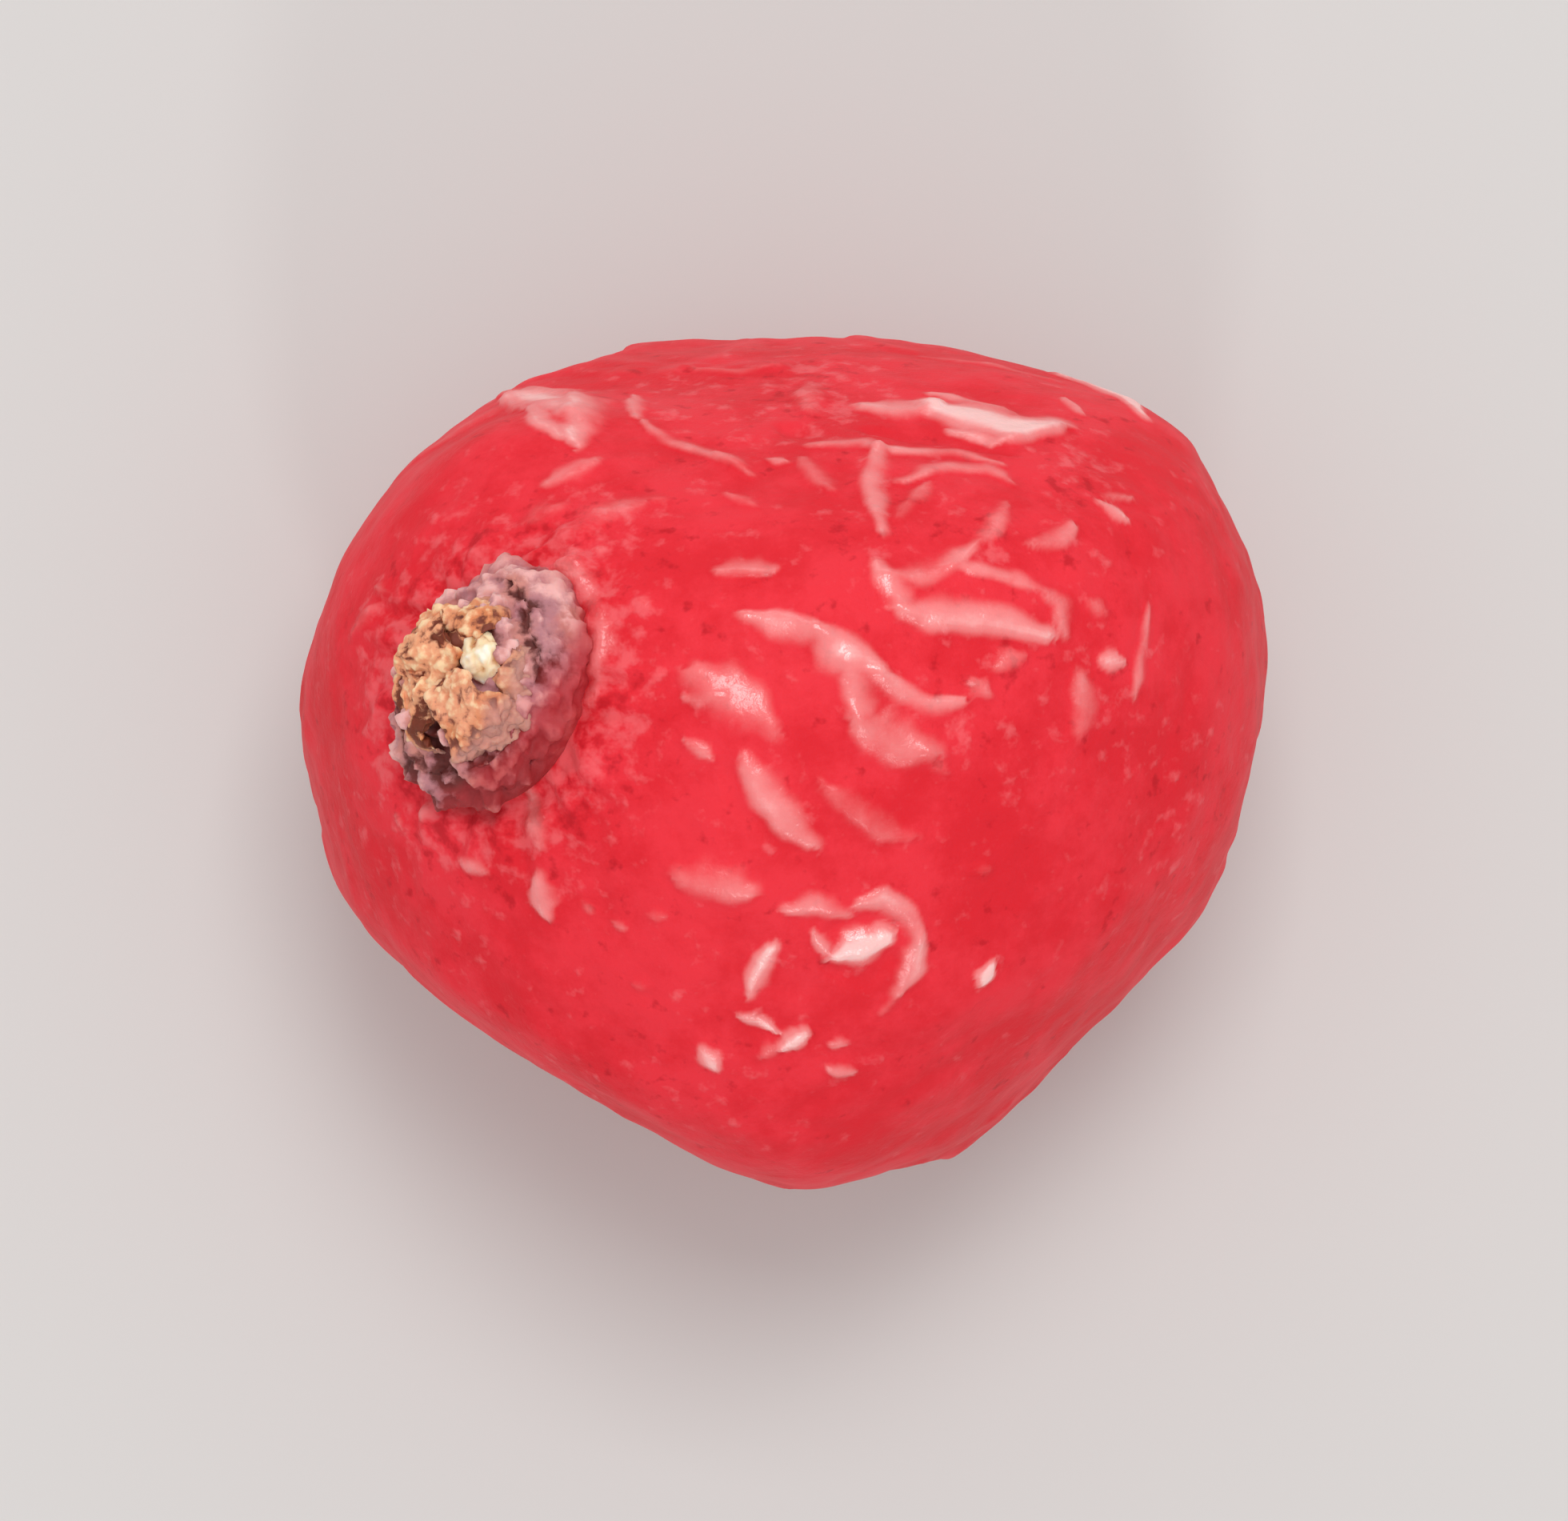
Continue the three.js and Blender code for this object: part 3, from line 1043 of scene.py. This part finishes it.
        # It widens, narrows to a tip, and curls inwards from the rim.
        for vertex in bm.verts:
            across, along = vertex.co.x, (vertex.co.y + 1) / 2
            half = width / 2 * (0.72 + 0.5 * along - 0.85 * along**3)
            bend = math.radians(-12) + curl * along
            radius = self.rim_radius - 0.08 - length * along * math.sin(bend * 0.62)
            rise = self.height - 0.12 + length * along * math.cos(bend * 0.62)
            cupped = 0.16 * across**2 * (1 - along)
            vertex.co = Vector((radius - cupped, across * half, rise))
        flat = np.array([vertex.co for vertex in bm.verts])
        for vertex, crumpled in zip(bm.verts, warped(flat, 0.3, 0.15, number * 5.0)):
            vertex.co = Vector(crumpled)
        bmesh.ops.solidify(bm, geom=bm.faces[:], thickness=0.06)
        bmesh.ops.recalc_face_normals(bm, faces=bm.faces[:])
        bmesh.ops.subdivide_edges(bm, edges=bm.edges[:], cuts=1, use_grid_fill=True)
        bmesh.ops.rotate(bm, verts=bm.verts[:], cent=(0, 0, 0),
                         matrix=Matrix.Rotation(math.radians(self.sepal_turns[number - 1]), 3, "Z"))
        for face in bm.faces:
            face.smooth = True
        settle(bm)
        sepal = mesh_object(f"dried_sepal_{number}", bm)
        stain = self.sepal_stains[number - 1]
        self.roughen(sepal, (0.17, 0.08, 0.04), 0.042, 10.0 + number, (0.3, 0.55), stain, self.pits)
        return sepal

    def style(self) -> bpy.types.Object:
        """The pale nub of the style in the flower's middle.

        Returns:
            The nub, in the flower's own frame.
        """
        style = self.spun("dried_style", (
            (0, 0.15), (0.15, 0.15), (0.18, 0.4), (0.25, 0.55), (0.19, 0.67), (0, 0.71)), 48)
        write_points(style, read_points(style) + np.array([*self.style_off, 0]))
        self.roughen(style, (0.2, 0.1, 0.05), 0.04, 30.0, (0.2, 0.45))
        return style


@dataclass
class Studio:
    """A plain pale table, soft studio light and the camera straight above, in metres.

    Attributes:
        field_of_view: width of the picture at the berry's middle.
        distance: the camera's distance from the berry's middle.
        aim_height: height of the berry's middle over the table.
        sensor: width of the camera's sensor in millimetres.
    """

    field_of_view: float = 14.6e-3
    distance: float = 0.25
    aim_height: float = 0.004
    sensor: float = 36.0

    def floor(self) -> None:
        """Lays the pale floor."""
        bm = bmesh.new()
        bmesh.ops.create_grid(bm, x_segments=1, y_segments=1, size=0.4)
        floor = mesh_object("floor", bm)
        mat = bpy.data.materials.new("matt_white_card")
        mat.use_nodes = True
        shader = mat.node_tree.nodes["Principled BSDF"]
        shader.inputs["Base Color"].default_value = linear("#CFCDCB")
        shader.inputs["Roughness"].default_value = 0.8
        floor.data.materials.append(mat)

    def lamp(self, name: str, azimuth: float, elevation: float, distance: float,
             size: tuple[float, float], power: float) -> None:
        """Hangs one softbox that faces the berry.

        Args:
            name: the lamp's name.
            azimuth: degrees round from +X.
            elevation: degrees up from level.
            distance: metres from the berry.
            size: the softbox's width and height in metres.
            power: watts.
        """
        light = bpy.data.lights.new(name, "AREA")
        light.shape = "RECTANGLE"
        light.size, light.size_y = size
        light.energy = power
        lamp = bpy.data.objects.new(name, light)
        bpy.context.scene.collection.objects.link(lamp)
        towards = Vector(direction(azimuth, elevation))
        lamp.location = towards * distance + Vector((0, 0, self.aim_height))
        lamp.rotation_euler = towards.to_track_quat("Z", "Y").to_euler()

    def camera(self) -> None:
        """Sets the camera straight above the berry."""
        lens = bpy.data.cameras.new("camera")
        lens.sensor_width = self.sensor
        lens.lens = self.sensor * self.distance / self.field_of_view
        lens.clip_start = 0.01
        lens.clip_end = 10.0
        camera = bpy.data.objects.new("camera", lens)
        camera.location = (0, 0, self.distance + self.aim_height)
        bpy.context.scene.collection.objects.link(camera)
        bpy.context.scene.camera = camera

    def light(self) -> None:
        """Lights the berry with a high softbox, a low strip behind, a small lamp in front, and fill."""
        self.lamp("broad_key", azimuth=80, elevation=72, distance=0.42, size=(0.14, 0.14), power=0.62)
        self.lamp("back_strip", azimuth=92, elevation=14, distance=0.4, size=(0.34, 0.06), power=0.2)
        self.lamp("small_front", azimuth=275, elevation=42, distance=0.3, size=(0.04, 0.04), power=0.09)
        world = bpy.data.worlds.new("studio")
        world.use_nodes = True
        fill = world.node_tree.nodes["Background"]
        fill.inputs["Color"].default_value = (1, 1, 1, 1)
        fill.inputs["Strength"].default_value = 0.72
        bpy.context.scene.world = world
        bpy.context.scene.view_settings.view_transform = "Standard"


CREASE = Relief.CREASE
WRINKLES = (
    # The pale three-cornered facet and the small folds on the far left shoulder.
    Wrinkle(0.06, 0.7, ((-2.6, 3.44), (-2.2, 3.48), (-1.92, 3.48))),
    Wrinkle(0.11, 1.1, ((-1.95, 3.45), (-1.94, 3.3), (-1.97, 3.0))),
    Wrinkle(0.07, 0.95, ((-2.62, 3.4), (-2.3, 3.2), (-1.98, 3.0))),
    Wrinkle(0.22, 1.0, ((-2.45, 3.42), (-2.02, 3.28))),
    Wrinkle(0.09, 0.6, ((-2.2, 2.62), (-1.95, 2.7), (-1.72, 2.78))),
    Wrinkle(0.14, 0.35, ((-2.35, 2.25), (-2.1, 2.35))),
    Wrinkle(0.13, 0.35, ((-1.9, 2.12), (-1.6, 2.32), (-1.25, 2.4))),
    Wrinkle(0.05, 0.75, ((-1.42, 3.48), (-1.38, 3.25))),
    Wrinkle(0.06, 0.55, ((-1.3, 3.2), (-1.1, 3.03), (-0.75, 2.92), (-0.35, 2.72))),
    Wrinkle(0.09, 0.5, ((-0.62, 2.88), (-0.4, 2.78))),
    Wrinkle(0.07, 0.6, ((-0.15, 2.87), (0.0, 2.85))),
    Wrinkle(0.07, 0.5, ((-0.55, 2.5), (-0.3, 2.4))),
    Wrinkle(0.08, 0.62, ((-0.6, 1.8), (-0.35, 1.82), (-0.08, 1.82))),
    Wrinkle(0.05, 0.5, ((-1.16, 2.45), (-1.05, 2.43))),
    Wrinkle(0.05, 0.5, ((-1.75, 1.97), (-1.62, 1.97))),
    Wrinkle(0.06, 0.5, ((-1.38, 1.5), (-1.22, 1.46))),
    Wrinkle(0.11, 0.6, ((-2.02, 1.82), (-1.84, 1.72))),
    Wrinkle(0.05, 0.35, ((-0.95, 3.72), (-0.5, 3.68), (0.0, 3.72))),
    # The long ledge on the far shoulder, and the T-shaped folds before it.
    Wrinkle(0.13, 1.0, ((0.78, 3.35), (1.05, 3.32), (1.4, 3.35))),
    Wrinkle(0.19, 1.4, ((1.4, 3.33), (1.7, 3.25), (2.05, 3.12), (2.5, 3.14))),
    Wrinkle(0.06, 0.95, ((1.4, 3.46), (1.75, 3.4), (2.1, 3.28))),
    Wrinkle(0.05, 0.95, ((1.55, 3.16), (1.95, 3.03), (2.5, 3.12))),
    Wrinkle(0.1, 0.0, ((0.8, 3.13), (1.5, 3.08), (2.1, 2.93)), CREASE),
    Wrinkle(0.13, 0.0, ((0.02, 3.16), (0.22, 3.12)), CREASE),
    Wrinkle(0.08, 0.6, ((0.25, 2.98), (0.7, 3.0), (0.85, 2.94))),
    Wrinkle(0.07, 0.75, ((0.85, 2.94), (1.2, 2.93), (1.6, 2.93), (2.0, 2.8))),
    Wrinkle(0.07, 0.6, ((1.12, 2.64), (1.5, 2.76), (1.9, 2.75), (2.08, 2.62))),
    Wrinkle(0.08, 0.85, ((0.86, 2.96), (0.8, 2.6), (0.88, 2.18))),
    Wrinkle(0.06, 0.4, ((1.35, 2.62), (1.05, 2.3))),
    Wrinkle(0.08, 0.45, ((0.15, 2.85), (0.28, 2.68), (0.42, 2.55))),
    Wrinkle(0.1, 0.4, ((0.2, 3.55), (0.18, 3.3))),
    # The thick hook and its thin return loop on the right.
    Wrinkle(0.1, 0.8, ((0.82, 1.85), (0.98, 1.6), (1.15, 1.38))),
    Wrinkle(0.1, 1.1, ((1.05, 1.4), (1.5, 1.3), (1.9, 1.26), (2.4, 1.13))),
    Wrinkle(0.08, 0.7, ((0.95, 1.74), (1.25, 1.7), (1.5, 1.76), (1.8, 1.98))),
    Wrinkle(0.07, 0.45, ((1.8, 1.98), (1.95, 2.15), (2.02, 2.38))),
    Wrinkle(0.05, 0.75, ((1.55, 1.78), (2.0, 1.7), (2.38, 1.58))),
    Wrinkle(0.07, 0.65, ((2.32, 1.6), (2.5, 1.48), (2.55, 1.15))),
    Wrinkle(0.07, 0.7, ((2.28, 2.0), (2.55, 2.03), (2.66, 2.2))),
    Wrinkle(0.09, 1.0, ((2.95, 2.42), (3.15, 2.28))),
    Wrinkle(0.05, 0.6, ((3.0, 2.5), (3.3, 2.5))),
    Wrinkle(0.06, 0.85, ((2.58, 3.43), (2.72, 3.3))),
    Wrinkle(0.08, 1.5, ((2.6, 3.68), (2.85, 3.62), (3.1, 3.48), (3.35, 3.28))),
    Wrinkle(0.08, 0.4, ((2.78, 1.45), (2.92, 1.36))),
    # The big folds across the middle.
    Wrinkle(0.09, 0.95, ((0.4, 1.16), (0.05, 1.26), (-0.3, 1.38))),
    Wrinkle(0.12, 0.95, ((0.88, 0.86), (0.55, 1.06), (0.3, 1.18))),
    Wrinkle(0.07, 0.85, ((1.65, 0.56), (1.4, 0.58), (1.1, 0.7), (0.85, 0.85))),
    Wrinkle(0.1, 0.7, ((0.6, 0.9), (0.64, 0.62), (0.74, 0.35))),
    Wrinkle(0.16, 0.8, ((0.7, 0.3), (0.95, 0.14), (1.3, 0.08))),
    Wrinkle(0.08, 0.35, ((1.3, 0.08), (1.48, -0.12))),
    Wrinkle(0.15, 0.6, ((-0.12, 0.4), (-0.28, 0.58), (-0.5, 0.76), (-0.82, 0.84))),
    Wrinkle(0.06, 0.5, ((-0.92, 0.6), (-0.55, 0.6))),
    Wrinkle(0.06, 0.7, ((-0.92, 0.22), (-0.68, 0.06))),
    Wrinkle(0.1, 0.85, ((-0.4, 0.02), (-0.26, -0.28), (-0.06, -0.54), (0.22, -0.76))),
    Wrinkle(0.07, 0.0, ((-0.55, -0.02), (-0.42, -0.35), (-0.18, -0.68)), CREASE),
    Wrinkle(0.09, 0.42, ((0.34, -0.24), (0.6, -0.44), (0.85, -0.66), (1.12, -0.7))),
    Wrinkle(0.12, 0.65, ((-0.95, -1.08), (-0.6, -1.14), (-0.32, -1.24))),
    Wrinkle(0.09, 0.6, ((1.72, 0.72), (1.85, 0.6))),
    Wrinkle(0.1, 0.6, ((1.95, 0.85), (2.2, 0.95))),
    Wrinkle(0.11, 0.55, ((2.7, 0.78), (2.72, 0.5), (2.68, 0.25))),
    Wrinkle(0.08, 1.0, ((2.95, 0.92), (3.12, 0.93))),
    Wrinkle(0.05, 0.6, ((3.36, 1.45), (3.3, 1.0), (3.24, 0.62))),
    # The heart-shaped crinkle near the front, and the spots round it with the brightest painted
    # highlights.
    Wrinkle(0.08, 0.9, ((0.05, -1.4), (0.3, -1.35), (0.56, -1.44))),
    Wrinkle(0.06, 0.9, ((0.25, -1.58), (0.36, -1.78))),
    Wrinkle(0.13, 1.75, ((0.5, -1.86), (0.7, -1.8), (0.92, -1.66))),
    Wrinkle(0.08, 0.9, ((1.27, -1.64), (1.16, -1.38), (0.92, -1.22), (0.7, -1.3))),
    Wrinkle(0.08, 0.95, ((1.05, -2.17), (1.22, -1.92), (1.27, -1.6))),
    Wrinkle(0.05, 0.4, ((1.05, -2.15), (0.88, -2.36))),
    Wrinkle(0.09, 0.0, ((0.45, -1.6), (0.75, -1.5), (1.0, -1.55)), CREASE),
    Wrinkle(0.09, 0.0, ((0.42, -2.0), (0.75, -2.08), (1.0, -1.85)), CREASE),
    Wrinkle(0.08, 1.3, ((-0.16, -1.72), (-0.27, -1.92), (-0.34, -2.14))),
    Wrinkle(0.05, 1.15, ((-0.42, -2.34), (-0.25, -2.41), (-0.08, -2.52))),
    Wrinkle(0.11, 1.75, ((0.02, -2.66), (0.2, -2.55))),
    Wrinkle(0.08, 0.6, ((-0.22, -2.74), (-0.05, -2.68))),
    Wrinkle(0.07, 0.65, ((0.48, -2.65), (0.6, -2.65))),
    Wrinkle(0.07, 0.75, ((0.48, -2.9), (0.66, -2.93))),
    Wrinkle(0.09, 1.05, ((-0.77, -2.68), (-0.68, -2.82))),
    Wrinkle(0.09, 1.75, ((1.84, -2.04), (1.92, -1.9))),
    Wrinkle(0.07, 0.35, ((1.78, -1.06), (1.9, -1.02))),
    # The small folds and spots on the left, before the flower.
    Wrinkle(0.09, 0.6, ((-2.42, -0.3), (-2.34, -0.58), (-2.25, -0.78))),
    Wrinkle(0.09, 0.4, ((-1.72, 0.6), (-1.66, 1.1), (-1.72, 1.55), (-1.9, 1.95))),
    Wrinkle(0.11, 0.95, ((-2.26, -1.12), (-2.2, -1.38))),
    Wrinkle(0.05, 0.6, ((-1.84, -1.33), (-1.75, -1.42))),
    Wrinkle(0.05, 0.5, ((-1.6, -1.52), (-1.5, -1.56))),
    Wrinkle(0.06, 0.4, ((-1.25, -1.4), (-1.13, -1.42))),
    Wrinkle(0.06, 0.6, ((-2.95, -0.93), (-2.72, -1.02))),
    Wrinkle(0.06, 0.6, ((-3.58, -0.5), (-3.52, -0.58))),
    Wrinkle(0.06, 0.6, ((-3.32, -0.46), (-3.22, -0.5))),
    Wrinkle(0.07, 0.75, ((-2.32, 0.04), (-2.18, 0.02))),
    Wrinkle(0.06, 0.45, ((-1.38, -2.08), (-1.25, -2.12))),
    Wrinkle(0.1, 0.4, ((-3.98, 1.22), (-3.82, 1.4))),
    Wrinkle(0.05, 0.45, ((-3.8, 1.65), (-3.7, 1.58))),
)


def main() -> None:
    """Builds the redcurrant and its studio."""
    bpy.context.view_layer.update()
    axis = direction(*FLOWER_SIDE)
    form = BerryForm()
    skin = BerrySkin(form, axis, WRINKLES)
    berry = skin.build(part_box("berry"))
    set_down(berry, "berry", SkinFinish().material())
    seat = skin.offset + axis * (form.reach(axis[None, :])[0] - FLOWER_SINK)
    flower = WitheredFlower(axis, seat)
    # Mauve over a red foot.
    collar = DriedTissueFinish("dried_collar", pale="#EBB0AC", body="#CC847A", patch="#B87A80",
                               dark="#621F1A", foot="#B6242E")
    # Golden tan, with finer grains.
    leaf = DriedTissueFinish("dried_sepal", pale="#FBD0A4", body="#EE9F76", patch="#DE8654",
                             dark="#722A0E", foot="#C8887C", grain_mm=0.09)
    # Nearly white, and smoother.
    nub = DriedTissueFinish("dried_style", pale="#FFF6E4", body="#FFEACB", patch="#FBDDB2",
                            dark="#D8A26C", foot="#EAB88C", grain_mm=0.3)
    cup = flower.cup()
    flower.place(cup)
    set_down(cup, "flower_cup", collar.material())
    sepal_material = leaf.material()
    for number in range(1, len(flower.sepal_lengths) + 1):
        sepal = flower.sepal(number)
        flower.place(sepal)
        set_down(sepal, f"sepal_{number}", sepal_material)
    style = flower.style()
    flower.place(style)
    set_down(style, "style_stub", nub.material())
    studio = Studio()
    studio.floor()
    studio.light()
    studio.camera()


if __name__ == "__main__":
    logging.basicConfig(level=logging.INFO)
    main()
